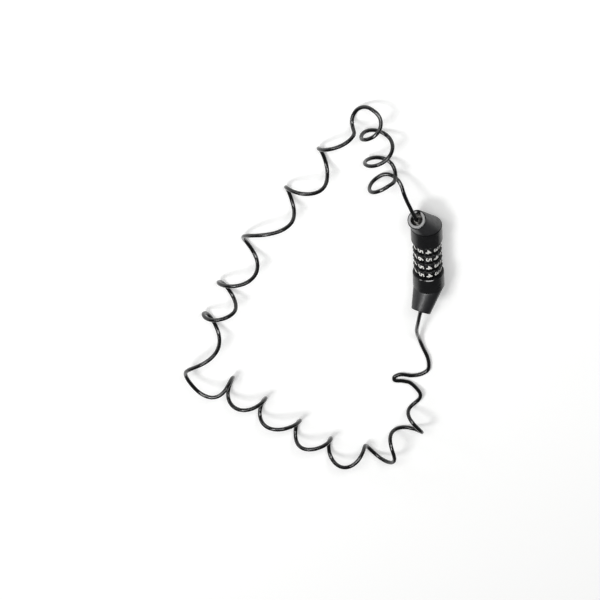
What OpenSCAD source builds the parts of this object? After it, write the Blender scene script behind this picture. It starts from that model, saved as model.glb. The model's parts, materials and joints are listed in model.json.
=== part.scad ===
// Four-dial combination cable lock: a barrel with two angled end caps, and a
// long curly cable that leaves both caps and makes one loop. The lock lies on a
// surface at z = 0, with the barrel along Y and the plug end towards -Y.
// Barrel pieces are drawn on their own axis, where z runs towards the plug end
// and x is the side that both end caps bend to, and are then laid down.

/* [Dials] */
// Outer diameter of a number dial at its wide rim, towards the plug end
dial_d = 21.9; // [21:0.1:22.6]
// Outer diameter of a number dial at its narrow rim
dial_narrow_d = 18.9; // [18.6:0.1:21]
// Distance from one dial to the next
dial_pitch = 7.9; // [7.4:0.1:9]
// Gap between neighbouring dials
dial_gap = 0.5; // [0.4:0.05:0.7]
// Chamfer on the rims of a dial
dial_chamfer = 0.4; // [0.2:0.1:0.6]
// Width of the finger groove between two digits
groove_w = 2.6; // [1.6:0.1:3.2]
// Depth of the finger groove between two digits
groove_depth = 0.9; // [0.5:0.1:1.2]

/* [Code rings] */
// Outer diameter of a code ring
code_d = 14.6; // [14:0.1:14.8]
// Diameter of the chamber where a tooth turns free
chamber_d = 11; // [10.6:0.1:11.4]
// Thickness of the web that traps a tooth
web_t = 2.4; // [1.6:0.1:3]
// Width of the key that ties a code ring to its dial
key_w = 1.4; // [1:0.1:2]
// Height of that key
key_h = 0.8; // [0.5:0.1:1]

/* [Core and locking pin] */
// Outer diameter of the core tube
core_d = 8.4; // [8:0.1:9]
// Diameter of the shaft of the locking pin
pin_d = 4.8; // [4:0.1:5.2]
// Distance from the axis to the end of a tooth
tooth_reach = 5.2; // [4.9:0.05:5.2]
// Width of a tooth
tooth_w = 2.2; // [1.6:0.1:2.6]
// Length of a tooth along the pin
tooth_l = 2.4; // [1.6:0.1:3]
// How far the pin, and the core's stud at the other end, reach into their end caps
stud_grip = 7; // [6:0.5:9]
// Thickness of the click spring
leaf_t = 0.25; // [0.2:0.05:0.3]

/* [Collars and end caps] */
// Outer diameter of the collars
collar_d = 23.4; // [22.8:0.1:26]
// Chamfer on the collar's rim beside the dials
rim_chamfer = 0.5; // [0.3:0.1:1]
// Height of the mitre between collar and cap, on the inside of the bend
mitre_near = 29; // [26:0.5:29.5]
// Height of the mitre on the outside of the bend
mitre_far = 30; // [29:0.5:34]
// How far an end cap stands back from its collar
cap_step = 0.3; // [0.1:0.1:0.6]
// Diameter of an end cap's mouth
mouth_d = 14.6; // [13:0.1:16]
// Distance of the mouth's centre from the barrel's axis
mouth_offset = 13.4; // [10:0.1:15]
// Height of the mouth's centre above the middle of the barrel
mouth_height = 46.4; // [44:0.1:50]
// Angle between the mouth's axis and the barrel's axis
mouth_tilt = 42; // [30:1:55]
// Diameter of the hole in the mouth
mouth_bore = 8.6; // [7:0.1:9.5]
// Depth of that hole
mouth_depth = 9; // [7:0.5:10]
// Chamfer on the mouth's lip, inside and outside
lip_chamfer = 0.6; // [0.3:0.1:1]
// Angle by which the caps' bend rises from the surface
bend_lift = 48; // [20:1:60]

/* [Cable] */
// Diameter of the cable over its jacket
cable_d = 3; // [2.5:0.1:3.4]
// How far the ferrule's neck stops short of the mouth
ferrule_inset = 1.5; // [1:0.5:3]
// Diameter of the ferrule's crimped neck
neck_d = 5; // [4.2:0.1:6]
// Length of the ferrule's flange
flange_l = 4; // [3:0.5:5]

/* [Fits] */
// Running clearance between pieces that turn or slide, on the radius
run_gap = 0.06; // [0.04:0.01:0.1]
// Clearance between pieces that are pressed or glued together
seat_gap = 0.02; // [0.01:0.01:0.04]
// Clearance beside a tooth, a key and a spacer
side_gap = 0.1; // [0.08:0.01:0.15]
// Gap in the seam between a collar and its end cap
seam_gap = 0.2; // [0.1:0.05:0.3]

/* [Hidden] */
$fn = 96;
tiny = 0.01;
far_away = 60;

dial_count = 4;
digit_count = 10;
dial_w = dial_pitch - dial_gap;
dial_bore = code_d + 2 * seat_gap;
dial_taper = atan((dial_d - dial_narrow_d) / 2 / dial_w);
stack_half = dial_count * dial_pitch / 2;
spacer_t = dial_gap - 2 * side_gap;
spacer_d = code_d + 1.6;
collar_start = stack_half + spacer_t / 2 + side_gap / 2;
core_bore = pin_d + 2 * run_gap;
core_top = mitre_near;
core_bottom = -mitre_near;
core_floor = -stack_half - 3;
pin_tip = -stack_half - 1;
stud_d = pin_d;
keyway_reach = tooth_reach + 0.2;
keyway_w = tooth_w + 4 * side_gap;
collar_r = collar_d / 2;
mouth_r = mouth_d / 2;
mitre_mid = (mitre_near + mitre_far) / 2;
stud_end = mitre_mid + stud_grip;
mitre_angle = atan((mitre_far - mitre_near) / collar_d);
leaf_w = 2;
leaf_l = 2 * (stack_half - dial_gap - side_gap);
leaf_flat = core_d / 2 - 0.5;
leaf_bump_r = chamber_d / 2 - leaf_flat - leaf_t - 0.2;
collar_pin_d = 1.6;
collar_pin_bite = 1;
collar_pin_z = collar_start + 5.5;

// Where the barrel lies: its box is centred on the origin and stands on z = 0
mouth_lean = sin(mouth_tilt) * cos(bend_lift);
mouth_reach = mouth_offset * cos(bend_lift) + mouth_r * sqrt(1 - mouth_lean * mouth_lean);
axis_x = (collar_r - mouth_reach) / 2;
axis_z = collar_r;

function dial_z(i) = (i - (dial_count - 1) / 2) * dial_pitch;

// A point on the axis of a mouth, depth above its rim, in the lock's own frame.
// end is -1 at the plug end and 1 at the fixed end.
function mouth_point(end, depth) = [
    axis_x + (mouth_offset + depth * sin(mouth_tilt)) * cos(bend_lift),
    end * (mouth_height + depth * cos(mouth_tilt)),
    axis_z + (mouth_offset + depth * sin(mouth_tilt)) * sin(bend_lift)];

// The cable's route: x, y and z of the line that the curls wind round, then the
// radius of the curl there and the turns wound so far. The winding reverses
// once, beside the far corner, as curly cables do. Radius 0 is plain cable.
curl = 11;
small_curl = 9;
lie = cable_d / 2 + 0.2;
route = [
    concat(mouth_point(-1, -ferrule_inset), [0, 0.4]),
    concat(mouth_point(-1, cable_d / 2), [0, 0.4]),
    [11, -57, 20, 0, 0.4],
    [20, -69, 13, 6, 0.5],
    [28, -79, curl + lie, curl, 0.8],
    [31, -85, curl + lie, curl, 1.3],
    [30, -92, curl + lie, curl, 1.6],
    [31, -103, curl + lie, curl, 2],
    [32, -117, curl + lie, curl, 2.5],
    [33, -130, curl + lie, curl, 3],
    [38, -143, 10 + lie, 10, 3.5],
    [55, -141, small_curl + lie, small_curl, 4],
    [67, -115, curl + lie, curl, 4.6],
    [82, -97, curl + lie, curl, 5.1],
    [94, -81, curl + lie, curl, 5.6],
    [108, -67, curl + lie, curl, 6.1],
    [127, -40, curl + lie, curl, 6.6],
    [138, -20, curl + lie, curl, 7.1],
    [147, 0, curl + lie, curl, 7.6],
    [155, 13, curl + lie, curl, 8.1],
    [159, 28, curl + lie, curl, 8.6],
    [170, 50, curl + lie, curl, 9.1],
    [174, 76, curl + lie, curl, 9.5],
    [166, 92, 10 + lie, 10, 9.4],
    [153, 101, small_curl + lie, small_curl, 8.9],
    [143, 113, small_curl + lie, small_curl, 8.4],
    [130, 127, small_curl + lie, small_curl, 7.9],
    [120, 138, small_curl + lie, small_curl, 7.4],
    [105, 156, small_curl + lie, small_curl, 6.9],
    [95, 165, small_curl + lie, small_curl, 6.4],
    [82, 180, small_curl + lie, small_curl, 5.9],
    [68, 190, small_curl + lie, small_curl, 5.4],
    [52, 196, small_curl + lie, small_curl, 4.9],
    [36, 194, small_curl + lie, small_curl, 4.4],
    [24, 184, small_curl + lie, small_curl, 3.9],
    [16, 172, small_curl + lie, small_curl, 3.4],
    [10, 159, 6 + lie, 6, 2.9],
    [7, 147, 2 + lie, 0, 2.7],
    [13, 137, lie, 0, 2.7],
    [19, 133, lie, 0, 2.7],
    [25, 130, lie, 0, 2.7],
    [25, 126, lie, 0, 2.7],
    [20, 126, lie, 0, 2.7],
    [12, 129, lie, 0, 2.7],
    [5, 129, lie, 0, 2.7],
    [0, 126, lie, 0, 2.7],
    [-1, 120, lie, 0, 2.7],
    [0, 112, lie, 0, 2.7],
    [3, 102, lie, 0, 2.7],
    [6, 90, 4, 0, 2.7],
    [9, 75, 12, 0, 2.7],
    [9, 60, 19, 0, 2.7],
    concat(mouth_point(1, cable_d / 2), [0, 2.7]),
    concat(mouth_point(1, -ferrule_inset), [0, 2.7])];
route_end = len(route) - 1;
plug_cable_end = 10;
spiral_end = 38;
cable_sides = 6;
rings_per_curl = 8;
plain_step = 3 * cable_d;

function unit(v) = v / norm(v);
function xyz(v) = [v.x, v.y, v.z];
function row(i) =
    i < 0 ? 2 * route[0] - route[1] :
    i > route_end ? 2 * route[route_end] - route[route_end - 1] :
    route[i];
// Smooth curve through the rows: its value and its direction at t after row i
function along(i, t) = 0.5 * (2 * row(i) + (row(i + 1) - row(i - 1)) * t
    + (2 * row(i - 1) - 5 * row(i) + 4 * row(i + 1) - row(i + 2)) * t * t
    + (3 * row(i) - row(i - 1) - 3 * row(i + 1) + row(i + 2)) * t * t * t);
function heading(i, t) = unit(xyz((row(i + 1) - row(i - 1))
    + 2 * (2 * row(i - 1) - 5 * row(i) + 4 * row(i + 1) - row(i + 2)) * t
    + 3 * (3 * row(i) - row(i - 1) - 3 * row(i + 1) + row(i + 2)) * t * t));
// Direction from the route to the cable that winds round it
function outward(i, t) =
    let (h = heading(i, t), left = unit(cross([0, 0, 1], h)), over = cross(h, left))
    let (turn = 360 * along(i, t)[4])
    left * cos(turn) + over * sin(turn);
function cable_at(i, t) = xyz(along(i, t)) + along(i, t)[3] * outward(i, t);
function cable_dir(i, t) = unit(cable_at(i, t + tiny) - cable_at(i, t - tiny));

// Rings in the step that starts at row i, and their places along the route
function ring_count(i) = max(1,
    ceil(rings_per_curl * abs(row(i + 1)[4] - row(i)[4])),
    ceil(norm(xyz(row(i + 1)) - xyz(row(i))) / plain_step));
function places(from, to) = concat(
    [for (i = [from:to - 1]) for (j = [0:ring_count(i) - 1]) [i, j / ring_count(i)]],
    [to < route_end ? [to, 0] : [to - 1, 1]]);

// Least gap between stretches of the cable that aren't next to each other
gap_points = [for (p = places(0, route_end)) cable_at(p[0], p[1])];
gap_skip = 5;
self_gap = min([for (i = [0:len(gap_points) - 1])
    for (j = [i + gap_skip:1:len(gap_points) - 1])
    norm(gap_points[i] - gap_points[j])]) - cable_d;
cable_length = [for (i = 0, s = 0; i < len(gap_points); i = i + 1,
    s = s + (i < len(gap_points) ? norm(gap_points[i] - gap_points[i - 1]) : 0)) s];
echo(least_gap_of_the_cable_to_itself = self_gap);
echo(length_along_the_rings = cable_length[len(cable_length) - 1]);
assert(self_gap > 0.4, "the cable touches itself");

// Lays the barrel's own frame down in the lock's frame
module laid_down() {
    translate([axis_x, 0, axis_z])
        rotate([90, 0, 0])
            rotate([0, 0, bend_lift])
                children();
}

// Straight block from the axis outwards on the +x side, for keyways and teeth
module radial_block(reach, width, z0, z1) {
    translate([0, -width / 2, z0])
        cube([reach, width, z1 - z0]);
}

// Number ring: it widens towards the plug end, so that each ring's rim stands out
// below the one above it. Ten finger grooves follow its wall, and two keyways run
// through its bore.
module dial(i) {
    half = dial_w / 2;
    groove_r = (groove_w * groove_w / 4 + groove_depth * groove_depth) / (2 * groove_depth);
    groove_out = groove_r - groove_depth;
    translate([0, 0, dial_z(i)])
        difference() {
            rotate_extrude()
                polygon([
                    [dial_bore / 2, -half],
                    [dial_narrow_d / 2 - dial_chamfer, -half],
                    [dial_narrow_d / 2, -half + dial_chamfer],
                    [dial_d / 2, half - dial_chamfer],
                    [dial_d / 2 - dial_chamfer, half],
                    [dial_bore / 2, half]]);
            for (k = [0:digit_count - 1])
                rotate([0, 0, (k + 0.5) * 360 / digit_count])
                    translate([(dial_d + dial_narrow_d) / 4 + groove_out * cos(dial_taper), 0,
                        -groove_out * sin(dial_taper)])
                        rotate([0, dial_taper, 0])
                            cylinder(r = groove_r, h = 2 * dial_w, center = true);
            for (turn = [0, 180])
                rotate([0, 0, turn])
                    radial_block(code_d / 2 + key_h + side_gap, key_w + side_gap,
                        -half - tiny, half + tiny);
        }
}

// Code ring: a web with one gate, over a chamber where the tooth turns free.
// Ten notches in the chamber's wall take the click spring.
module code_ring(i) {
    half = dial_w / 2;
    web_z = half - web_t;
    translate([0, 0, dial_z(i)])
        difference() {
            union() {
                translate([0, 0, -half])
                    cylinder(d = code_d, h = dial_w);
                for (turn = [0, 180])
                    rotate([0, 0, turn])
                        radial_block(code_d / 2 + key_h, key_w, -half, half);
            }
            translate([0, 0, -half - tiny])
                cylinder(d = core_d + 2 * run_gap, h = dial_w + 2 * tiny);
            translate([0, 0, -half - tiny])
                cylinder(d = chamber_d, h = dial_w - web_t + tiny);
            radial_block(keyway_reach, keyway_w, web_z - tiny, half + tiny);
            for (k = [0:digit_count - 1])
                rotate([0, 0, k * 360 / digit_count])
                    translate([chamber_d / 2, 0, -half - tiny])
                        cylinder(d = 1.2, h = dial_w - web_t + tiny, $fn = 24);
        }
}

// Core tube: the dials turn on it, and the pin's teeth stand out of its slot.
// Its lower end is a solid stud that holds the fixed end cap.
module core_tube() {
    difference() {
        union() {
            translate([0, 0, core_bottom])
                cylinder(d = core_d, h = core_top - core_bottom);
            translate([0, 0, -stud_end])
                cylinder(d = stud_d, h = stud_end + core_bottom + tiny);
        }
        translate([0, 0, core_floor])
            cylinder(d = core_bore, h = far_away);
        radial_block(core_d, tooth_w + 2 * side_gap, core_floor, core_top + tiny);
        translate([-core_d, -core_d, -stack_half + dial_gap])
            cube([core_d - leaf_flat, 2 * core_d, 2 * (stack_half - dial_gap)]);
        for (side = [-1, 1])
            pin_rod(side, collar_pin_d + 2 * seat_gap, core_d / 2 - collar_pin_bite, core_d);
    }
}

// Click spring: a leaf on the core's flat, with one hollow bump for each dial
module click_spring() {
    intersection() {
        translate([-far_away - leaf_flat - seat_gap, -leaf_w / 2, -leaf_l / 2])
            cube([far_away, leaf_w, leaf_l]);
        difference() {
            union() {
                translate([-leaf_flat - leaf_t, -leaf_w / 2, -leaf_l / 2])
                    cube([leaf_t, leaf_w, leaf_l]);
                for (i = [0:dial_count - 1])
                    translate([-leaf_flat - leaf_t, leaf_w / 2, dial_z(i) - web_t / 2])
                        rotate([90, 0, 0])
                            cylinder(r = leaf_bump_r, h = leaf_w, $fn = 32);
            }
            for (i = [0:dial_count - 1])
                translate([-leaf_flat - leaf_t, leaf_w, dial_z(i) - web_t / 2])
                    rotate([90, 0, 0])
                        cylinder(r = leaf_bump_r - leaf_t, h = 2 * leaf_w, $fn = 32);
        }
    }
}

// Flat ring round the core, with a keyway for the teeth
module spacer(z) {
    translate([0, 0, z - spacer_t / 2])
        difference() {
            cylinder(d = spacer_d, h = spacer_t);
            translate([0, 0, -tiny])
                cylinder(d = core_d + 2 * seat_gap, h = spacer_t + 2 * tiny);
            radial_block(keyway_reach, keyway_w, -tiny, spacer_t + tiny);
        }
}

module spacer_rings() {
    for (i = [1:dial_count])
        spacer((i - dial_count / 2) * dial_pitch);
}

// Split spring washer, pressed flat, that keeps the dials together at the fixed end
module spring_washer() {
    translate([0, 0, -stack_half - spacer_t / 2])
        difference() {
            cylinder(d = code_d, h = spacer_t);
            translate([0, 0, -tiny])
                cylinder(d = chamber_d, h = spacer_t + 2 * tiny);
            rotate([0, 0, 180])
                radial_block(code_d, 1, -tiny, spacer_t + tiny);
        }
}

// Everything on the far side of the mitre, moved outwards by gap
module beyond_mitre(gap) {
    translate([0, 0, mitre_mid])
        rotate([0, mitre_angle, 0])
            translate([-far_away, -far_away, gap])
                cube(2 * far_away);
}

// Collar: a turned sleeve with a chamfered rim, cut off at the mitre
module collar_body() {
    difference() {
        rotate_extrude()
            polygon([
                [core_d / 2 + seat_gap, collar_start],
                [collar_r - rim_chamfer, collar_start],
                [collar_r, collar_start + rim_chamfer],
                [collar_r, mitre_far + 1],
                [core_d / 2 + seat_gap, mitre_far + 1]]);
        beyond_mitre(-seam_gap / 2);
    }
}

// Round rod on the outside of the bend, from an inner to an outer radius, where
// a roll pin goes through a collar. side is 1 at the plug end, -1 at the other.
module pin_rod(side, d, inner, outer) {
    translate([-inner, 0, side * collar_pin_z])
        rotate([0, -90, 0])
            cylinder(d = d, h = outer - inner, $fn = 32);
}

module upper_collar() {
    difference() {
        collar_body();
        radial_block(keyway_reach, keyway_w, collar_start - tiny, mitre_far);
        pin_rod(1, collar_pin_d + 2 * seat_gap, 0, collar_d);
    }
}

module lower_collar() {
    mirror([0, 0, 1])
        difference() {
            collar_body();
            pin_rod(1, collar_pin_d + 2 * seat_gap, 0, collar_d);
        }
}

// Roll pins that hold each collar on the core
module collar_pins() {
    for (side = [-1, 1])
        pin_rod(side, collar_pin_d, core_d / 2 - collar_pin_bite + seat_gap, collar_r - 0.2);
}

// End cap: lofted from the mitre's oval to the round mouth
module cap_body() {
    skin = 0.8;
    difference() {
        hull() {
            intersection() {
                beyond_mitre(seam_gap / 2);
                translate([0, 0, mitre_mid])
                    rotate([0, mitre_angle, 0])
                        translate([-far_away, -far_away, -far_away])
                            cube([2 * far_away, 2 * far_away, far_away + skin]);
                cylinder(r = collar_r - cap_step, h = far_away, $fn = 32);
            }
            translate([mouth_offset, 0, mouth_height])
                rotate([0, mouth_tilt, 0])
                    translate([0, 0, -skin - lip_chamfer])
                        cylinder(r = mouth_r, h = skin, $fn = 32);
            translate([mouth_offset, 0, mouth_height])
                rotate([0, mouth_tilt, 0])
                    translate([0, 0, -tiny])
                        cylinder(r = mouth_r - lip_chamfer, h = tiny, $fn = 32);
        }
        translate([mouth_offset, 0, mouth_height])
            rotate([0, mouth_tilt, 0]) {
                translate([0, 0, -mouth_depth])
                    cylinder(d = mouth_bore, h = far_away);
                translate([0, 0, -lip_chamfer])
                    cylinder(d1 = mouth_bore, d2 = mouth_bore + 4 * lip_chamfer, h = 2 * lip_chamfer);
            }
        cylinder(d = stud_d + 2 * seat_gap, h = stud_end + seat_gap);
    }
}

module upper_cap() {
    cap_body();
}

module lower_cap() {
    mirror([0, 0, 1])
        cap_body();
}

// Locking pin: fixed in the plug's cap, with one tooth for each dial
module locking_pin() {
    translate([0, 0, pin_tip])
        cylinder(d1 = pin_d - 1, d2 = pin_d, h = 0.5);
    translate([0, 0, pin_tip + 0.5])
        cylinder(d = pin_d, h = stud_end - pin_tip - 0.5);
    for (i = [0:dial_count - 1])
        radial_block(tooth_reach, tooth_w,
            dial_z(i) + dial_w / 2 - web_t - side_gap - tooth_l,
            dial_z(i) + dial_w / 2 - web_t - side_gap);
}

// Crimped ferrule: a flange in the bottom of the mouth's hole and a round neck
module ferrule() {
    translate([mouth_offset, 0, mouth_height])
        rotate([0, mouth_tilt, 0]) {
            translate([0, 0, -mouth_depth + seat_gap])
                cylinder(d = mouth_bore - 2 * seat_gap, h = flange_l);
            translate([0, 0, -mouth_depth + flange_l])
                cylinder(d = neck_d, h = mouth_depth - flange_l - ferrule_inset);
        }
}

module upper_ferrule() {
    ferrule();
}

module lower_ferrule() {
    mirror([0, 0, 1])
        ferrule();
}

// One unbroken tube along the route from one row to another
module cable_tube(from, to) {
    spots = places(from, to);
    rings = len(spots);
    n = cable_sides;
    points = [for (s = spots)
        let (at = cable_at(s[0], s[1]), dir = cable_dir(s[0], s[1]),
            out = outward(s[0], s[1]),
            up = unit(out - dir * (out * dir)), side = cross(dir, up))
        for (k = [0:n - 1])
            at + cable_d / 2 * (up * cos(360 * (k + 0.5) / n) + side * sin(360 * (k + 0.5) / n))];
    walls = [for (i = [0:rings - 2]) for (k = [0:n - 1])
        let (a = i * n + k, b = i * n + (k + 1) % n)
        each [[a, b + n, b], [a, a + n, b + n]]];
    caps = [for (k = [1:n - 2]) each [
        [0, k, k + 1],
        [(rings - 1) * n, (rings - 1) * n + k + 1, (rings - 1) * n + k]]];
    polyhedron(points, concat(walls, caps));
}

module plug_cable() {
    cable_tube(0, plug_cable_end);
}

module spiral_cable() {
    cable_tube(plug_cable_end, spiral_end);
}

module tail_cable() {
    cable_tube(spiral_end, route_end);
}

dial_black = "#1b1b1c";
cap_black = "#262628";
steel = "#9a9ca0";
zinc = "#b4b5b8";
jacket = "#141415";

color(dial_black) laid_down() dial(0);  // dial_1
color(dial_black) laid_down() dial(1);  // dial_2
color(dial_black) laid_down() dial(2);  // dial_3
color(dial_black) laid_down() dial(3);  // dial_4
color(zinc) laid_down() code_ring(0);  // code_ring_1
color(zinc) laid_down() code_ring(1);  // code_ring_2
color(zinc) laid_down() code_ring(2);  // code_ring_3
color(zinc) laid_down() code_ring(3);  // code_ring_4
color(steel) laid_down() core_tube();
color(steel) laid_down() click_spring();
color(steel) laid_down() spacer_rings();
color(steel) laid_down() spring_washer();
color(cap_black) laid_down() upper_collar();
color(cap_black) laid_down() lower_collar();
color(steel) laid_down() collar_pins();
color(cap_black) laid_down() upper_cap();
color(steel) laid_down() locking_pin();
color(zinc) laid_down() upper_ferrule();
color(cap_black) laid_down() lower_cap();
color(zinc) laid_down() lower_ferrule();
color(jacket) plug_cable();
color(jacket) spiral_cable();
color(jacket) tail_cable();
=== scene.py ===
# %% [markdown]
# # A combination cable lock
#
# The lock lies on a pale floor. Its barrel carries four number dials between two collars,
# and each end has an angled cap with a mouth. One long curly cable leaves the mouth at the
# plug end, makes a wide loop and comes back to the mouth at the fixed end.
#
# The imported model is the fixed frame: its solids hold the real sizes, and every piece made
# here rides on one of its bodies.

# %% The frame
import json
import math

import bmesh
import bpy
from mathutils import Matrix, Vector


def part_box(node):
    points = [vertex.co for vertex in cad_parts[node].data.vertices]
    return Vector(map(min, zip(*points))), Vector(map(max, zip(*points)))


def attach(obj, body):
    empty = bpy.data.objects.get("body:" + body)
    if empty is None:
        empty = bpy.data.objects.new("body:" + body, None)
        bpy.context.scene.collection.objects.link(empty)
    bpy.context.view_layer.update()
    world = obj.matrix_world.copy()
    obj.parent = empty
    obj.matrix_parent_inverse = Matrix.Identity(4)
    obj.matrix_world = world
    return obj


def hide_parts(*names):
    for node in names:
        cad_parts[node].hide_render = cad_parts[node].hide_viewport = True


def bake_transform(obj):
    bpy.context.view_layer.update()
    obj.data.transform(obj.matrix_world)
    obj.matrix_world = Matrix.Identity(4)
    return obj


MM = 0.001
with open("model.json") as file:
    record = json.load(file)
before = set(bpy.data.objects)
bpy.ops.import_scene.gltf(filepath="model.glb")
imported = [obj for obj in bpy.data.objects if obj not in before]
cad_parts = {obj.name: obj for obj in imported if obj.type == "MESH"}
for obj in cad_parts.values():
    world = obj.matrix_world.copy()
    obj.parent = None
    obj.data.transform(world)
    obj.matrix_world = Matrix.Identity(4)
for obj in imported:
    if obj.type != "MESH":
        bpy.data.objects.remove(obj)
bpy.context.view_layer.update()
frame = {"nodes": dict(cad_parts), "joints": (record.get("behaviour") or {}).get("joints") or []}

# %% [markdown]
# The barrel has a frame of its own, in which z runs towards the plug end and x is the side
# that both end caps bend to. Pieces of the barrel are easiest to draw there, so one matrix
# lays them down. Its origin is the point that the dials turn about, which the frame holds.

# %% The barrel's own frame
BEND_LIFT = math.radians(48)

spin = next(joint for joint in frame["joints"] if joint["name"] == "dial_1_spin")
axis_point = Vector(spin["pos_m"])
BARREL = (
    Matrix.Translation(axis_point)
    @ Matrix.Rotation(math.radians(90), 4, "X")
    @ Matrix.Rotation(BEND_LIFT, 4, "Z")
)
OTHER_END = Matrix.Scale(-1, 4, (0, 0, 1))
print("barrel's axis passes", [round(value / MM, 2) for value in axis_point], "mm")

# %% [markdown]
# The camera comes first, because the cable has to fit its view. It leans from straight
# above towards the plug end, swings a little to the loop's side and is turned over, so the
# plug end is at the top of the picture. A very long lens keeps the near and the far part of
# the loop at one scale, as a distant view does.

# %% The camera
LEAN = math.radians(43)
SWING = math.radians(10)
ROLL = math.radians(3.1)
FRAME_WIDTH = 444 * MM
BARREL_RIGHT = 94.4 * MM
BARREL_UP = 33.6 * MM
LENS = 800
SENSOR = 36

to_viewer = Vector((math.cos(LEAN) * math.sin(SWING), -math.sin(LEAN),
                    math.cos(LEAN) * math.cos(SWING)))
level_right = Vector((-math.cos(SWING), 0, math.sin(SWING)))
level_up = to_viewer.cross(level_right)
picture_right = math.cos(ROLL) * level_right - math.sin(ROLL) * level_up
picture_up = math.sin(ROLL) * level_right + math.cos(ROLL) * level_up

camera = bpy.data.objects.new("camera", bpy.data.cameras.new("camera"))
bpy.context.scene.collection.objects.link(camera)
camera.data.lens = LENS
camera.data.sensor_width = SENSOR
camera_distance = FRAME_WIDTH * LENS / SENSOR
camera.data.clip_end = 2 * camera_distance
aim = axis_point - picture_right * BARREL_RIGHT - picture_up * BARREL_UP
turned = Matrix((picture_right, picture_up, to_viewer)).transposed().to_4x4()
camera.matrix_world = Matrix.Translation(aim + to_viewer * camera_distance) @ turned
bpy.context.scene.camera = camera
print(f"camera {camera_distance:.2f} m away, frame {FRAME_WIDTH / MM:.0f} mm wide")

# %% [markdown]
# Every swept and turned shape of this lock is a stack of rings, so one helper joins rings
# of points with quads. Blender's own sweep and spin could make some of these shapes, but
# rings let a dial have its grooves and a cap change from an oval to a circle.

# %% Skins
def skin(name, rings, looped=False):
    """A mesh through rings of points. It has closed ends, or its last ring meets its first."""
    count = len(rings[0])
    pairs = len(rings) if looped else len(rings) - 1
    faces = []
    for r in range(pairs):
        low, high = r * count, (r + 1) % len(rings) * count
        for k in range(count):
            after = (k + 1) % count
            faces.append((low + k, low + after, high + after, high + k))
    if not looped:
        last = (len(rings) - 1) * count
        faces += [tuple(reversed(range(count))), tuple(range(last, last + count))]
    mesh = bpy.data.meshes.new(name)
    mesh.from_pydata([point for ring in rings for point in ring], [], faces)
    return mesh


# %% [markdown]
# A piece is a mesh made smooth, apart from its real edges, and set to ride on a body of the
# frame. Light shows at once where a face looks inward, so all faces are turned outward.

# %% Pieces
SHARP_ANGLE = math.radians(38)


def turn_outward(mesh):
    form = bmesh.new()
    form.from_mesh(mesh)
    bmesh.ops.recalc_face_normals(form, faces=form.faces)
    form.to_mesh(mesh)
    form.free()


def piece(name, mesh, material, body=None, replaces=()):
    """An object with a smooth mesh that rides on a body and stands for CAD nodes."""
    turn_outward(mesh)
    mesh.shade_smooth()
    mesh.set_sharp_from_angle(angle=SHARP_ANGLE)
    mesh.materials.append(material)
    made = bpy.data.objects.new(name, mesh)
    bpy.context.scene.collection.objects.link(made)
    if body:
        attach(made, body)
    if replaces:
        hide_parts(*replaces)
    return made


print(f"edges sharper than {math.degrees(SHARP_ANGLE):.0f} degrees stay sharp")

# %% [markdown]
# People write a colour as an sRGB hex value, and the renderer wants linear light. One
# function turns the first into the second.

# %% Colours
def linear(hex_code):
    """An sRGB hex colour as linear RGBA."""
    shares = [int(hex_code[i : i + 2], 16) / 255 for i in (1, 3, 5)]
    light = [s / 12.92 if s <= 0.04045 else ((s + 0.055) / 1.055) ** 2.4 for s in shares]
    return (*light, 1)


print("a hex grey of #808080 is", round(linear("#808080")[0], 3), "in linear light")

# %% [markdown]
# Every material is built from nodes. One function adds a node with its settings and links.
# A material starts empty, and its patterns are measured on the object itself, so that they
# turn and slide with it.

# %% Nodes
def add_node(tree, kind, inputs=None, **settings):
    """A shader node. An input that is a socket is linked, and any other is a value."""
    made = tree.nodes.new("ShaderNode" + kind)
    for name, value in settings.items():
        setattr(made, name, value)
    for name, value in (inputs or {}).items():
        if isinstance(value, bpy.types.NodeSocket):
            tree.links.new(value, made.inputs[name])
        else:
            made.inputs[name].default_value = value
    return made


def new_material(name):
    """An empty node material and its tree."""
    material = bpy.data.materials.new(name)
    material.use_nodes = True
    material.node_tree.nodes.clear()
    return material, material.node_tree


def pattern_place(tree):
    return add_node(tree, "TexCoord").outputs["Object"]


def finish_material(tree, shader):
    add_node(tree, "OutputMaterial", {"Surface": shader.outputs[0]})


# %% [markdown]
# No real surface has one even tone. Soft noise of a known grain, in millimetres, makes the
# colour and the shine drift, and finer noise gives the relief. Most of Blender's noise lies
# in the middle of its range, so that middle is what gets stretched.

# %% Patterns
NOISE_LOW, NOISE_HIGH = 0.3, 0.7


def per_metre(size_mm):
    """The scale of a pattern whose grains are that many millimetres across."""
    return 1 / (size_mm * MM)


def noise(tree, place, size_mm, detail):
    """Noise of one grain size. More detail adds finer grains to it."""
    return add_node(tree, "TexNoise", {
        "Vector": place, "Scale": per_metre(size_mm), "Detail": detail}).outputs["Fac"]


def blotches(tree, place, size_mm, low, high):
    """Soft noise, spread between two values."""
    return add_node(tree, "MapRange", {
        "Value": noise(tree, place, size_mm, detail=3), "From Min": NOISE_LOW,
        "From Max": NOISE_HIGH, "To Min": low, "To Max": high}).outputs["Result"]


def tints(tree, place, size_mm, dark, light):
    """A colour that drifts between two hex colours, in blotches of that size."""
    return add_node(tree, "Mix", {
        "Factor": blotches(tree, place, size_mm, 0, 1), "A": linear(dark),
        "B": linear(light)}, data_type="RGBA").outputs["Result"]


def relief(tree, place, size_mm, depth_mm, detail):
    """The tilt that small bumps of that size and depth give a surface."""
    return add_node(tree, "Bump", {
        "Height": noise(tree, place, size_mm, detail), "Distance": depth_mm * MM,
        "Strength": 1.0}).outputs["Normal"]


print("grains of 2 mm need a scale of", per_metre(2))

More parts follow.
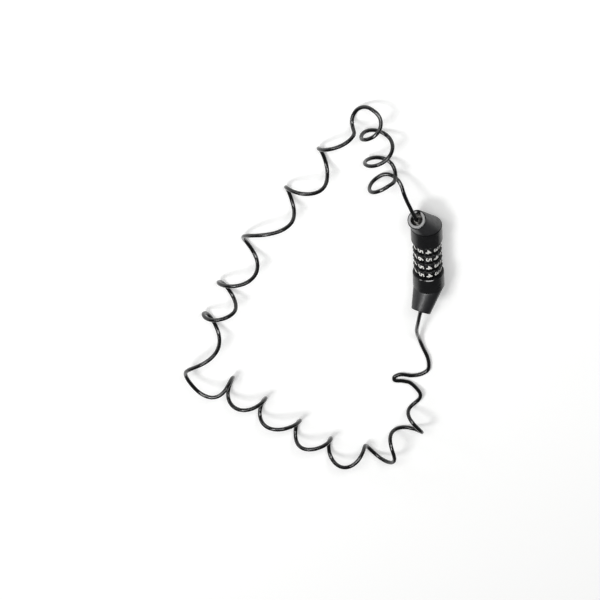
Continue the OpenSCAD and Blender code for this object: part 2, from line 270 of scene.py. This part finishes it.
# %% [markdown]
# ## The plastics
#
# The end caps are matte ABS: a spark-eroded mould leaves a fine grain that spreads the
# light softly. The collars are the same black ABS from a finer mould, with a satin look and
# a weaker reflection, and the lips of the mouths come smooth from the tool. The dials are
# acetal, a slippery plastic for turning parts, and their skin is glossy.
#
# The real grain of such a mould is about 0.1 mm. It is drawn three to six times as coarse,
# because finer grain would be lost between two pixels. Handling leaves soft patches of
# more and less shine.

# %% Plastics
COLOUR_PATCH = 6
HANDLING_PATCH = 2.5
HANDLING = 0.15


def moulded_plastic(name, dark, light, grain_mm, grain_depth_mm, rough, specular=0.5):
    material, tree = new_material(name)
    place = pattern_place(tree)
    finish_material(tree, add_node(tree, "BsdfPrincipled", {
        "Base Color": tints(tree, place, COLOUR_PATCH, dark, light),
        "Roughness": blotches(tree, place, HANDLING_PATCH,
                              rough * (1 - HANDLING), rough * (1 + HANDLING)),
        "IOR": 1.53,
        "Specular IOR Level": specular,
        "Normal": relief(tree, place, grain_mm, grain_depth_mm, detail=2)}))
    return material


matte_abs = moulded_plastic("matte_abs", "#161618", "#1e1e20", 0.35, 0.01, 0.44)
smooth_abs = moulded_plastic("smooth_abs", "#0a0a0b", "#101011", 0.5, 0.0015, 0.14)
satin_abs = moulded_plastic("satin_abs", "#0f0f10", "#151516", 0.4, 0.003, 0.3, 0.3)
acetal = moulded_plastic("acetal", "#0a0a0b", "#101011", 0.6, 0.0015, 0.18)
print("plastics:", matte_abs.name, smooth_abs.name, satin_abs.name, acetal.name)

# %% [markdown]
# The digits are white paint, filled into the dial by a pad. Thin paint isn't quite even,
# so its brightness drifts a little over a digit.

# %% Paint
def pad_printed_paint():
    material, tree = new_material("white_paint")
    finish_material(tree, add_node(tree, "BsdfPrincipled", {
        "Base Color": tints(tree, pattern_place(tree), 0.8, "#dcdbd6", "#f6f5f1"),
        "Roughness": 0.45,
        "IOR": 1.5}))
    return material


white_paint = pad_printed_paint()
print("paint:", white_paint.name)

# %% [markdown]
# The cable is a steel rope in a tight jacket of black PVC. PVC straight from the extruder
# is glossy, and long use leaves it faintly scuffed, which breaks its reflections up.

# %% Jacket
def extruded_pvc():
    material, tree = new_material("pvc_jacket")
    place = pattern_place(tree)
    finish_material(tree, add_node(tree, "BsdfPrincipled", {
        "Base Color": tints(tree, place, 3, "#030303", "#080809"),
        "Roughness": blotches(tree, place, 1.2, 0.08, 0.16),
        "IOR": 1.54,
        "Normal": relief(tree, place, 1.2, 0.12, detail=4)}))
    return material


pvc_jacket = extruded_pvc()
print("jacket:", pvc_jacket.name)

# %% [markdown]
# ## The metals
#
# Turned steel shows fine rings round its axis, so its grain is stretched round it. The code
# rings are cast zinc, which is duller and has no direction. Spring steel is blued a little
# by its heat treatment. The crimped ferrules are nickel-plated steel, but their colour is
# painted shade: far darker than nickel, for how they look deep in a black mouth.

# %% Metals
ACROSS_THE_AXIS = (0.1, 1, 0.1)
METAL_PATCH = 4
WEAR_PATCH = 1.5
SMOOTHER, ROUGHER = 0.05, 0.07


def metal(name, dark, light, rough, grain_mm, grain_depth_mm, stretch=(1, 1, 1)):
    """Bare metal: tone that drifts, and a grain that may be stretched one way."""
    material, tree = new_material(name)
    place = pattern_place(tree)
    grain_place = add_node(tree, "Mapping", {"Vector": place, "Scale": stretch}).outputs["Vector"]
    finish_material(tree, add_node(tree, "BsdfPrincipled", {
        "Base Color": tints(tree, place, METAL_PATCH, dark, light),
        "Metallic": 1.0,
        "Roughness": blotches(tree, grain_place, WEAR_PATCH, rough - SMOOTHER, rough + ROUGHER),
        "Normal": relief(tree, grain_place, grain_mm, grain_depth_mm, detail=3)}))
    return material


turned_steel = metal("turned_steel", "#a9abae", "#c2c4c7", 0.28, 0.25, 0.006, ACROSS_THE_AXIS)
spring_steel = metal("spring_steel", "#8a8c92", "#a6a8ad", 0.25, 0.4, 0.003)
cast_zinc = metal("cast_zinc", "#9b9c9f", "#b3b4b6", 0.42, 0.5, 0.012)
# The ferrules' dark grey is painted shade, not the colour of nickel.
nickel_steel_painted_shade = metal("nickel_steel_painted_shade", "#4c4b49", "#5d5c5a", 0.35, 0.4, 0.004)
print("metals:", turned_steel.name, spring_steel.name, cast_zinc.name, nickel_steel_painted_shade.name)

# %% [markdown]
# Thin turned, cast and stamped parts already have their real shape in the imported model, and
# so do the collars. They stay as they are and only get their finish.

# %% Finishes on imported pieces
DIAL_NUMBERS = range(1, 5)
CAD_FINISHES = {
    "upper_collar": satin_abs, "lower_collar": satin_abs,
    "core_tube": turned_steel, "locking_pin": turned_steel, "collar_pins": turned_steel,
    "click_spring": spring_steel, "spring_washer": spring_steel, "spacer_rings": spring_steel,
    "upper_ferrule": nickel_steel_painted_shade, "lower_ferrule": nickel_steel_painted_shade,
}
CAD_FINISHES.update({f"code_ring_{n}": cast_zinc for n in DIAL_NUMBERS})
for node_name, finish in CAD_FINISHES.items():
    mesh = frame["nodes"][node_name].data
    mesh.materials.clear()
    mesh.materials.append(finish)
print("finishes on", len(CAD_FINISHES), "packed pieces")

# %% [markdown]
# Hands and pockets polish the collars where they stand out most, on their narrow rims, so
# a thin line of light runs round each. A rim's faces lie far from the axis and lean: they
# face neither straight out, like the wall, nor straight along the barrel, like the end.

# %% Polished rims
RIM_FROM_AXIS = 11 * MM
WALL_LEAN, END_LEAN = 0.3, 0.9

for name in ("upper_collar", "lower_collar"):
    collar = frame["nodes"][name]
    collar.data.materials.append(smooth_abs)
    polished = 0
    for face in collar.data.polygons:
        offset = collar.matrix_world @ face.center - axis_point
        lean = abs((collar.matrix_world.to_3x3() @ face.normal).y)
        if math.hypot(offset.x, offset.z) > RIM_FROM_AXIS and WALL_LEAN < lean < END_LEAN:
            face.material_index = 1
            polished += 1
    print(name, polished, "rim faces polished")

# %% [markdown]
# ## The cable
#
# The cable is one fixed length of stiff, curly cable. Its route is the line that the curls
# wind round: each row holds a point of that line, the radius of the curl there, all in
# millimetres, and the turns wound so far. The winding turns back once, at the far corner.
# The first and last rows lie on the axes of the two mouths. The sharpest turn of the plain
# stretch has three rows, so that it stays round.

# %% The cable's route
CABLE_R = 1.5 * MM
MOUTH_TILT = math.radians(42)
MOUTH_OFFSET = 13.4 * MM
MOUTH_HEIGHT = 46.4 * MM
FERRULE_INSET = 1.5 * MM
CURL = 11
SMALL_CURL = 9
LIE = 1.7
LOW = LIE + CURL
LOW_SMALL = LIE + SMALL_CURL


def mouth_point(end, depth):
    """A point on a mouth's axis, depth above its rim. End 1 is the plug end, -1 the other."""
    side = MOUTH_OFFSET + depth * math.sin(MOUTH_TILT)
    up = MOUTH_HEIGHT + depth * math.cos(MOUTH_TILT)
    return BARREL @ Vector((side, 0, end * up))


def in_metres(x, y, z, curl_radius, turns):
    return (x * MM, y * MM, z * MM, curl_radius * MM, turns)


ROUTE = [
    (*mouth_point(1, -FERRULE_INSET), 0, 0.4),
    (*mouth_point(1, CABLE_R), 0, 0.4),
    in_metres(11, -57, 20, 0, 0.4),
    in_metres(20, -69, 13, 6, 0.5),
    in_metres(28, -79, LOW, CURL, 0.8),
    in_metres(31, -85, LOW, CURL, 1.3),
    in_metres(30, -92, LOW, CURL, 1.6),
    in_metres(31, -103, LOW, CURL, 2),
    in_metres(32, -117, LOW, CURL, 2.5),
    in_metres(33, -130, LOW, CURL, 3),
    in_metres(38, -143, 10 + LIE, 10, 3.5),
    in_metres(55, -141, LOW_SMALL, SMALL_CURL, 4),
    in_metres(67, -115, LOW, CURL, 4.6),
    in_metres(82, -97, LOW, CURL, 5.1),
    in_metres(94, -81, LOW, CURL, 5.6),
    in_metres(108, -67, LOW, CURL, 6.1),
    in_metres(127, -40, LOW, CURL, 6.6),
    in_metres(138, -20, LOW, CURL, 7.1),
    in_metres(147, 0, LOW, CURL, 7.6),
    in_metres(155, 13, LOW, CURL, 8.1),
    in_metres(159, 28, LOW, CURL, 8.6),
    in_metres(170, 50, LOW, CURL, 9.1),
    in_metres(174, 76, LOW, CURL, 9.5),
    in_metres(166, 92, 10 + LIE, 10, 9.4),
    in_metres(153, 101, LOW_SMALL, SMALL_CURL, 8.9),
    in_metres(143, 113, LOW_SMALL, SMALL_CURL, 8.4),
    in_metres(130, 127, LOW_SMALL, SMALL_CURL, 7.9),
    in_metres(120, 138, LOW_SMALL, SMALL_CURL, 7.4),
    in_metres(105, 156, LOW_SMALL, SMALL_CURL, 6.9),
    in_metres(95, 165, LOW_SMALL, SMALL_CURL, 6.4),
    in_metres(82, 180, LOW_SMALL, SMALL_CURL, 5.9),
    in_metres(68, 190, LOW_SMALL, SMALL_CURL, 5.4),
    in_metres(52, 196, LOW_SMALL, SMALL_CURL, 4.9),
    in_metres(36, 194, LOW_SMALL, SMALL_CURL, 4.4),
    in_metres(24, 184, LOW_SMALL, SMALL_CURL, 3.9),
    in_metres(16, 172, LOW_SMALL, SMALL_CURL, 3.4),
    in_metres(10, 159, 6 + LIE, 6, 2.9),
    in_metres(7, 147, 2 + LIE, 0, 2.7),
    in_metres(13, 137, LIE, 0, 2.7),
    in_metres(19, 133, LIE, 0, 2.7),
    in_metres(24.6, 131.3, LIE, 0, 2.7),
    in_metres(26, 128.9, LIE, 0, 2.7),
    in_metres(24.6, 126.5, LIE, 0, 2.7),
    in_metres(20, 126, LIE, 0, 2.7),
    in_metres(12, 129, LIE, 0, 2.7),
    in_metres(5, 129, LIE, 0, 2.7),
    in_metres(0, 126, LIE, 0, 2.7),
    in_metres(-1, 120, LIE, 0, 2.7),
    in_metres(0, 112, LIE, 0, 2.7),
    in_metres(3, 102, LIE, 0, 2.7),
    in_metres(6, 90, 4, 0, 2.7),
    in_metres(9, 75, 12, 0, 2.7),
    in_metres(9, 60, 19, 0, 2.7),
    (*mouth_point(-1, CABLE_R), 0, 2.7),
    (*mouth_point(-1, -FERRULE_INSET), 0, 2.7),
]
ROUTE_END = len(ROUTE) - 1
PLUG_STRETCH_END = 10
SPIRAL_END = 38
print(len(ROUTE), "rows in the route")

# %% [markdown]
# Between two rows the curve is a cubic that passes through both, so the cable has no kink.
# The direction from the route to the cable turns with the turns wound, which makes the
# curls, and where the radius is 0 the cable simply follows the route. A screw modifier can
# wind an even coil, but here every curl differs a little, and one formula for curls and
# plain stretches leaves no joint between them.

# %% The cable's centre line
STEP = 0.6 * MM
ROUGH_STEPS = 8


def row(i):
    """Row i of the route, with one more row past each end in a straight line."""
    if i < 0:
        return [2 * a - b for a, b in zip(ROUTE[0], ROUTE[1])]
    if i > ROUTE_END:
        return [2 * a - b for a, b in zip(ROUTE[-1], ROUTE[-2])]
    return ROUTE[i]


def along(i, t):
    """The route and its direction at share t of the way from row i to the next."""
    values, slopes = [], []
    for a, b, c, d in zip(row(i - 1), row(i), row(i + 1), row(i + 2)):
        first, second, third = c - a, 2 * a - 5 * b + 4 * c - d, 3 * b - a - 3 * c + d
        values.append(0.5 * (2 * b + first * t + second * t**2 + third * t**3))
        slopes.append(first + 2 * second * t + 3 * third * t**2)
    return values, Vector(slopes[:3]).normalized()


def cable_at(i, t):
    """A point of the cable itself, which winds round the route."""
    (x, y, z, curl_radius, turns), heading = along(i, t)
    left = Vector((0, 0, 1)).cross(heading).normalized()
    over = heading.cross(left)
    turn = math.tau * turns
    return Vector((x, y, z)) + curl_radius * (left * math.cos(turn) + over * math.sin(turn))


def length_of(points):
    return sum((b - a).length for a, b in zip(points, points[1:]))


def centre_line(first, last):
    """Points of the cable from one row to another, a step apart."""
    points = []
    for i in range(first, last):
        rough = [cable_at(i, j / ROUGH_STEPS) for j in range(ROUGH_STEPS + 1)]
        steps = max(2, math.ceil(length_of(rough) / STEP))
        points += [cable_at(i, j / steps) for j in range(steps)]
    return points + [cable_at(last - 1, 1)]


stretches = {
    "plug_cable": centre_line(0, PLUG_STRETCH_END),
    "spiral_cable": centre_line(PLUG_STRETCH_END, SPIRAL_END),
    "tail_cable": centre_line(SPIRAL_END, ROUTE_END),
}
for name, points in stretches.items():
    print(f"{name}: {length_of(points) / MM:.0f} mm in {len(points)} points")

# %% [markdown]
# The jacket is so tight that the rope's six strands show through it as a slow twist, and
# that is what breaks up the glint along it. So the tube has six faint lobes that turn as it
# runs. The direction that they are counted from is carried along without a twist of its
# own, or the lobes would turn with the curls.

# %% The jacket with its strands
SIDES = 24
STRANDS = 6
STRAND_RELIEF = 0.055
LAY_LENGTH = 16 * MM


def jacket_radius(angle, run):
    """The radius at an angle round the cable, after that length of it."""
    lobe = math.cos(STRANDS * angle - math.tau * run / LAY_LENGTH)
    return CABLE_R * (1 - STRAND_RELIEF * (0.5 - 0.5 * lobe))


def jacket_rings(points, across, run):
    """Rings round the points. The direction and length at their end start the next stretch."""
    rings = []
    for index, point in enumerate(points):
        before, after = points[max(index - 1, 0)], points[min(index + 1, len(points) - 1)]
        heading = (after - before).normalized()
        across = (across - heading * across.dot(heading)).normalized()
        side = heading.cross(across)
        run += (point - points[index - 1]).length if index else 0
        ring = []
        for k in range(SIDES):
            angle = math.tau * k / SIDES
            outward = across * math.cos(angle) + side * math.sin(angle)
            ring.append(point + jacket_radius(angle, run) * outward)
        rings.append(ring)
    return rings, across, run


across, run = Vector((0, 0, 1)), 0.0
jackets = {}
for name, points in stretches.items():
    rings, across, run = jacket_rings(points, across, run)
    jackets[name] = piece(name + "_jacket", skin(name + "_jacket", rings), pvc_jacket,
                          replaces=[name])
print(f"cable of {run / MM:.0f} mm in all")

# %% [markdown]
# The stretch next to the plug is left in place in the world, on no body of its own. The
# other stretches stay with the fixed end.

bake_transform(jackets["plug_cable"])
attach(jackets["spiral_cable"], "lock_body")
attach(jackets["tail_cable"], "lock_body")
print(len(jackets), "stretches declared as cords")

# %% [markdown]
# ## The dials
#
# Each dial is a ring with ten finger grooves, which divide it into ten pads. A groove is
# round, so it takes the most off at its middle. The edge between pad and groove is softened
# a little, and that is what glints in the light. Cutting the grooves out with a boolean
# would leave that edge knife-sharp, so a formula takes them off instead.

# %% Finger grooves
DIGITS = 10
GROOVE_WIDTH = 2.6 * MM
GROOVE_DEPTH = 0.9 * MM
GROOVE_SOFTNESS = 0.07 * MM
GROOVE_R = (GROOVE_WIDTH**2 / 4 + GROOVE_DEPTH**2) / (2 * GROOVE_DEPTH)


def groove_cut(angle, radius):
    """How much a groove takes off the wall there. Beside it, the pad rises by a hair."""
    pitch = math.tau / DIGITS
    from_groove = (angle % pitch) - pitch / 2
    sideways = radius * math.sin(from_groove)
    cut = math.sqrt(max(GROOVE_R**2 - sideways**2, 0)) - (GROOVE_R - GROOVE_DEPTH)
    soft_cut = 0.5 * (cut + math.sqrt(cut**2 + GROOVE_SOFTNESS**2))
    return soft_cut if cut >= 0 else soft_cut - 0.5 * GROOVE_SOFTNESS


print(f"grooves cut with a radius of {GROOVE_R / MM:.2f} mm")

# %% [markdown]
# A dial widens towards the plug end, so its rim stands out beside the narrow end of the
# next one. Its outline is a closed profile with rounded rims, and the grooves take their
# depth off the outer points only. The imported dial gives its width.

# %% The dial's outline
WIDE_R = 10.95 * MM
NARROW_R = 9.45 * MM
BORE_R = 7.32 * MM
RIM_ROUND = 0.5 * MM
ROUND_STEPS = 5
WALL_STEPS = 5

dial_low, dial_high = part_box("dial_1")
HALF_DIAL = (dial_high.y - dial_low.y) / 2


def rounded_rim(radius, edge, direction):
    """Points of a rim's rounding, from the wall to the face, as radius and height."""
    turns = [math.radians(90) * j / ROUND_STEPS for j in range(ROUND_STEPS + 1)]
    return [(radius - RIM_ROUND * (1 - math.cos(turn)),
             edge - direction * RIM_ROUND * (1 - math.sin(turn))) for turn in turns]


def dial_profile():
    """The dial's outline, as radius, height and whether grooves cut it there."""
    outside = rounded_rim(NARROW_R, -HALF_DIAL, -1)[::-1]
    for j in range(1, WALL_STEPS):
        share = j / WALL_STEPS
        outside.append((NARROW_R + (WIDE_R - NARROW_R) * share,
                        -HALF_DIAL + RIM_ROUND + 2 * (HALF_DIAL - RIM_ROUND) * share))
    outside += rounded_rim(WIDE_R, HALF_DIAL, 1)
    grooved = [(radius, z, True) for radius, z in outside]
    return [(BORE_R, -HALF_DIAL, False), *grooved, (BORE_R, HALF_DIAL, False)]


print(len(dial_profile()), "points in the outline of a dial")

# %% [markdown]
# The outline is carried round the axis, one ring of points for each point of the outline.
# The four dials are alike, and the frame says how far along the barrel each one sits.

# %% Four dials
DIAL_POINTS = 360


def dial_mesh(name, height):
    rings = []
    for radius, z, grooved in dial_profile():
        ring = []
        for k in range(DIAL_POINTS):
            angle = math.tau * k / DIAL_POINTS
            at = radius - (groove_cut(angle, radius) if grooved else 0)
            ring.append(BARREL @ Vector((at * math.cos(angle), at * math.sin(angle), height + z)))
        rings.append(ring)
    return skin(name, rings, looped=True)


def dial_height(n):
    low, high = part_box(f"dial_{n}")
    return axis_point.y - (low.y + high.y) / 2


for n in DIAL_NUMBERS:
    name = f"dial_{n}_ring"
    piece(name, dial_mesh(name, dial_height(n)), acetal, f"wheel_{n}", [f"dial_{n}"])
print("dial heights:", [round(dial_height(n) / MM, 2) for n in DIAL_NUMBERS])

# %% [markdown]
# Each pad carries a plain number, and its top points along the rim, so that the four digits
# read across the barrel. A text object gives the flat digit, in Blender's own plain type. A
# straight edge can't bend round the pad, so the digit is cut across in narrow strips first.

# %% A flat digit
DIGIT_SIZE = 5.9 * MM
DIGIT_BOLD = 0.15 * MM
CURVE_STEPS = 6
WELD = 0.001 * MM
CUT_SPACING = 0.35 * MM


def flat_digit(value):
    """A digit in the plane, as a bmesh."""
    text = bpy.data.curves.new("digit", "FONT")
    text.body = str(value)
    text.size = DIGIT_SIZE
    text.offset = DIGIT_BOLD
    text.resolution_u = CURVE_STEPS
    text.align_x, text.align_y = "CENTER", "CENTER"
    holder = bpy.data.objects.new("digit", text)
    bpy.context.scene.collection.objects.link(holder)
    bpy.context.view_layer.update()
    shaped = holder.evaluated_get(bpy.context.evaluated_depsgraph_get())
    flat = bpy.data.meshes.new_from_object(shaped)
    bpy.data.objects.remove(holder)
    form = bmesh.new()
    form.from_mesh(flat)
    bmesh.ops.remove_doubles(form, verts=form.verts, dist=WELD)
    return form


def centre(form):
    """Moves the digit's middle to the origin, and gives its height."""
    xs = [v.co.x for v in form.verts]
    ys = [v.co.y for v in form.verts]
    middle = Vector(((min(xs) + max(xs)) / 2, (min(ys) + max(ys)) / 2, 0))
    bmesh.ops.translate(form, verts=form.verts, vec=-middle)
    return max(ys) - min(ys)


def cut_across(form, height):
    count = math.ceil(height / CUT_SPACING)
    for j in range(1, count):
        level = -height / 2 + height * j / count
        everything = form.verts[:] + form.edges[:] + form.faces[:]
        bmesh.ops.bisect_plane(form, geom=everything, plane_co=(0, level, 0), plane_no=(0, 1, 0))


# %% [markdown]
# The strips are wrapped on the sloping wall. The paint fills a shallow mould mark, so the
# digit starts below the skin and ends a hair above it. The digits of a dial are one mesh,
# and the numbers count down round it.

# %% Digits on the dials
DIGIT_WIDEN = 1.68
PAINT_ABOVE = 0.06 * MM
PAINT_BELOW = 0.12 * MM
FIRST_DIGIT = {1: 5, 2: 5, 3: 6, 4: 5}


def on_the_pad(flat, pad_angle, height, lift):
    """The place of a point of a flat digit, on the sloping wall of a dial."""
    z = -flat.x * DIGIT_WIDEN
    slope = (WIDE_R - NARROW_R) / 2 / (HALF_DIAL - RIM_ROUND)
    radius = (WIDE_R + NARROW_R) / 2 + slope * z + lift
    angle = pad_angle + flat.y / radius
    return BARREL @ Vector((radius * math.cos(angle), radius * math.sin(angle), height + z))


def add_digit(target, value, pad_angle, height):
    form = flat_digit(value)
    cut_across(form, centre(form))
    grown = bmesh.ops.extrude_face_region(form, geom=form.faces[:])["geom"]
    top = {v for v in grown if isinstance(v, bmesh.types.BMVert)}
    for v in form.verts:
        v.co = on_the_pad(v.co, pad_angle, height, PAINT_ABOVE if v in top else -PAINT_BELOW)
    solid = bpy.data.meshes.new("digit")
    form.to_mesh(solid)
    form.free()
    target.from_mesh(solid)


for n in DIAL_NUMBERS:
    together = bmesh.new()
    for k in range(DIGITS):
        value = (FIRST_DIGIT[n] - k) % DIGITS
        add_digit(together, value, math.tau * k / DIGITS, dial_height(n))
    mesh = bpy.data.meshes.new(f"dial_{n}_digits")
    together.to_mesh(mesh)
    together.free()
    piece(f"dial_{n}_digits", mesh, white_paint, f"wheel_{n}")
print("digits on", len(FIRST_DIGIT), "dials")

# %% [markdown]
# ## The end caps
#
# An end cap runs from the oval seam beside its collar to the round mouth that the cable
# comes out of. It is a loft: both outlines get the same number of points, and the wall runs
# straight from each point of the oval to its partner on the circle.

# %% The seam and the mouth
RING_POINTS = 128
SEAM_GAP = 0.2 * MM
CAP_STEP = 0.3 * MM
MITRE_NEAR = 29 * MM
MITRE_FAR = 30 * MM

collar_low, collar_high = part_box("lower_collar")
COLLAR_R = (collar_high.z - collar_low.z) / 2
CAP_R = COLLAR_R - CAP_STEP
mitre_slope = (MITRE_FAR - MITRE_NEAR) / (2 * COLLAR_R)
seam_rise = SEAM_GAP / 2 * math.sqrt(1 + mitre_slope**2)
seam_height = (MITRE_NEAR + MITRE_FAR) / 2 + seam_rise


def seam_ring(radius):
    """Points on the mitre, above the seam."""
    ring = []
    for k in range(RING_POINTS):
        angle = math.tau * k / RING_POINTS
        x, y = radius * math.cos(angle), radius * math.sin(angle)
        ring.append(Vector((x, y, seam_height - x * mitre_slope)))
    return ring


def mouth_ring(radius, depth):
    """Points on a circle round the mouth's axis, depth below its rim."""
    out = Vector((math.sin(MOUTH_TILT), 0, math.cos(MOUTH_TILT)))
    across = Vector((math.cos(MOUTH_TILT), 0, -math.sin(MOUTH_TILT)))
    side = Vector((0, 1, 0))
    centre_point = Vector((MOUTH_OFFSET, 0, MOUTH_HEIGHT)) - out * depth
    ring = []
    for k in range(RING_POINTS):
        angle = math.tau * k / RING_POINTS
        ring.append(centre_point + radius * (across * math.cos(angle) + side * math.sin(angle)))
    return ring


print(f"caps {CAP_R / MM:.1f} mm in radius at the seam")

# %% [markdown]
# A mould has no knife edges, so the seam, the lip and the hole in the mouth are rounded. A
# rounding is a curve from one ring to another that bends round the corner between them.

# %% Roundings
def corner_rings(first, corner, last):
    """Rings of a rounding that leaves one ring and meets another, with its corner between."""
    rings = []
    for j in range(ROUND_STEPS + 1):
        t = j / ROUND_STEPS
        rings.append([a * (1 - t) ** 2 + b * (2 * t * (1 - t)) + c * t**2
                      for a, b, c in zip(first, corner, last)])
    return rings


def towards(start, end, distance):
    """Start's points, moved a fixed distance towards the matching points of end."""
    return [a + (b - a).normalized() * distance for a, b in zip(start, end)]


# %% [markdown]
# The rings run from the seam up the wall, over the lip and down into the hole that holds
# the ferrule. From the lip on the plastic is smooth, where the cable rubs it. Both caps are
# the same loft, laid at the two ends of the barrel.

# %% Both end caps
MOUTH_R = 7.3 * MM
MOUTH_BORE_R = 4.3 * MM
MOUTH_DEPTH = 9 * MM
SEAM_ROUND = 0.35 * MM
LIP_ROUND = 0.7 * MM
BORE_ROUND = 0.5 * MM
CAP_STEPS = 10
LIP_RING = ROUND_STEPS + 1 + CAP_STEPS


def cap_rings():
    seam_edge, lip_edge = seam_ring(CAP_R), mouth_ring(MOUTH_R, 0)
    above_seam = towards(seam_edge, lip_edge, SEAM_ROUND)
    below_lip = towards(lip_edge, seam_edge, LIP_ROUND)
    rings = corner_rings(seam_ring(CAP_R - SEAM_ROUND), seam_edge, above_seam)
    for j in range(1, CAP_STEPS):
        rings.append([a.lerp(b, j / CAP_STEPS) for a, b in zip(above_seam, below_lip)])
    rings += corner_rings(below_lip, lip_edge, mouth_ring(MOUTH_R - LIP_ROUND, 0))
    rings += corner_rings(mouth_ring(MOUTH_BORE_R + BORE_ROUND, 0), mouth_ring(MOUTH_BORE_R, 0),
                          mouth_ring(MOUTH_BORE_R, BORE_ROUND))
    rings.append(mouth_ring(MOUTH_BORE_R, MOUTH_DEPTH))
    return rings


def polish_lip(shell):
    """Faces from the lip on get the smoother plastic, which comes second."""
    shell.data.materials.append(smooth_abs)
    for face in shell.data.polygons:
        face.material_index = int(face.index >= LIP_RING * RING_POINTS)


CAPS = {"upper_cap": (BARREL, "plug"), "lower_cap": (BARREL @ OTHER_END, "lock_body")}
for name, (placed, body) in CAPS.items():
    rings = [[placed @ point for point in ring] for ring in cap_rings()]
    mesh = skin(name + "_shell", rings)
    polish_lip(piece(name + "_shell", mesh, matte_abs, body, [name]))
print(len(CAPS), "end caps of", len(cap_rings()), "rings each")

# %% [markdown]
# ## Floor and light
#
# The floor is plain and pale and runs far past the picture. Where it is seen, straight on
# or in a glossy surface, it glows a little, so it looks white without more light on the
# lock. Its own colour still takes the lock's shadow.

# %% Floor
HALF_FLOOR = 6
FLOOR_GLOW = 0.2

floor_material, floor_tree = new_material("pale_floor")
rays = add_node(floor_tree, "LightPath").outputs
seen = add_node(floor_tree, "Math", {
    0: rays["Is Camera Ray"], 1: rays["Is Glossy Ray"]}, operation="ADD")
seen_at_all = add_node(floor_tree, "Math", {
    0: seen.outputs[0], 1: rays["Is Transmission Ray"]}, operation="MAXIMUM")
glow = add_node(floor_tree, "Math", {
    0: seen_at_all.outputs[0], 1: FLOOR_GLOW}, operation="MULTIPLY")
finish_material(floor_tree, add_node(floor_tree, "BsdfPrincipled", {
    "Base Color": linear("#f3f3f2"),
    "Roughness": 0.8,
    "Emission Color": linear("#ffffff"),
    "Emission Strength": glow.outputs[0]}))

floor_mesh = bpy.data.meshes.new("floor")
corners = [(x * HALF_FLOOR, y * HALF_FLOOR, 0) for x, y in ((-1, -1), (1, -1), (1, 1), (-1, 1))]
floor_mesh.from_pydata(corners, [], [(0, 1, 2, 3)])
floor_mesh.materials.append(floor_material)
floor = bpy.data.objects.new("floor", floor_mesh)
bpy.context.scene.collection.objects.link(floor)
print("floor", 2 * HALF_FLOOR, "m wide")

# %% [markdown]
# Black plastic shows little colour of its own, so what it reflects gives it its shape. A
# wide lamp stands by the viewer and does most of the work. A key lamp on the side of the
# loop draws the streak along the end caps, and a weak low one lights the lip of the mouth.

# %% Lamps
def softbox(name, direction, distance, width, height, watts):
    """A lamp with a flat front that faces the object from that direction."""
    lamp = bpy.data.lights.new(name, "AREA")
    lamp.shape = "RECTANGLE"
    lamp.size, lamp.size_y = width, height
    lamp.energy = watts
    holder = bpy.data.objects.new(name, lamp)
    bpy.context.scene.collection.objects.link(holder)
    towards_lamp = Vector(direction).normalized()
    holder.location = towards_lamp * distance
    holder.rotation_mode = "QUATERNION"
    holder.rotation_quaternion = towards_lamp.to_track_quat("Z", "Y")
    print(f"{name} lamp: {watts} W from {width} x {height} m, {distance} m away")


softbox("front", (0.15, -0.7, 0.68), 3.6, 3.2, 0.8, 98)
softbox("side", (0.7, -0.68, 0.22), 3.0, 0.7, 0.7, 14)
softbox("key", (0.6, -0.25, 0.75), 3.6, 1.1, 0.8, 60)

# %% [markdown]
# An even pale sky fills in the shadows. The Standard view shows colours as they are
# written.

# %% Sky
SKY_STRENGTH = 0.15

world = bpy.data.worlds.new("sky")
world.use_nodes = True
world.node_tree.nodes.clear()
sky = add_node(world.node_tree, "Background", {
    "Color": linear("#f4f6f8"), "Strength": SKY_STRENGTH})
add_node(world.node_tree, "OutputWorld", {"Surface": sky.outputs["Background"]})
bpy.context.scene.world = world
bpy.context.scene.view_settings.view_transform = "Standard"
print("sky at", SKY_STRENGTH)
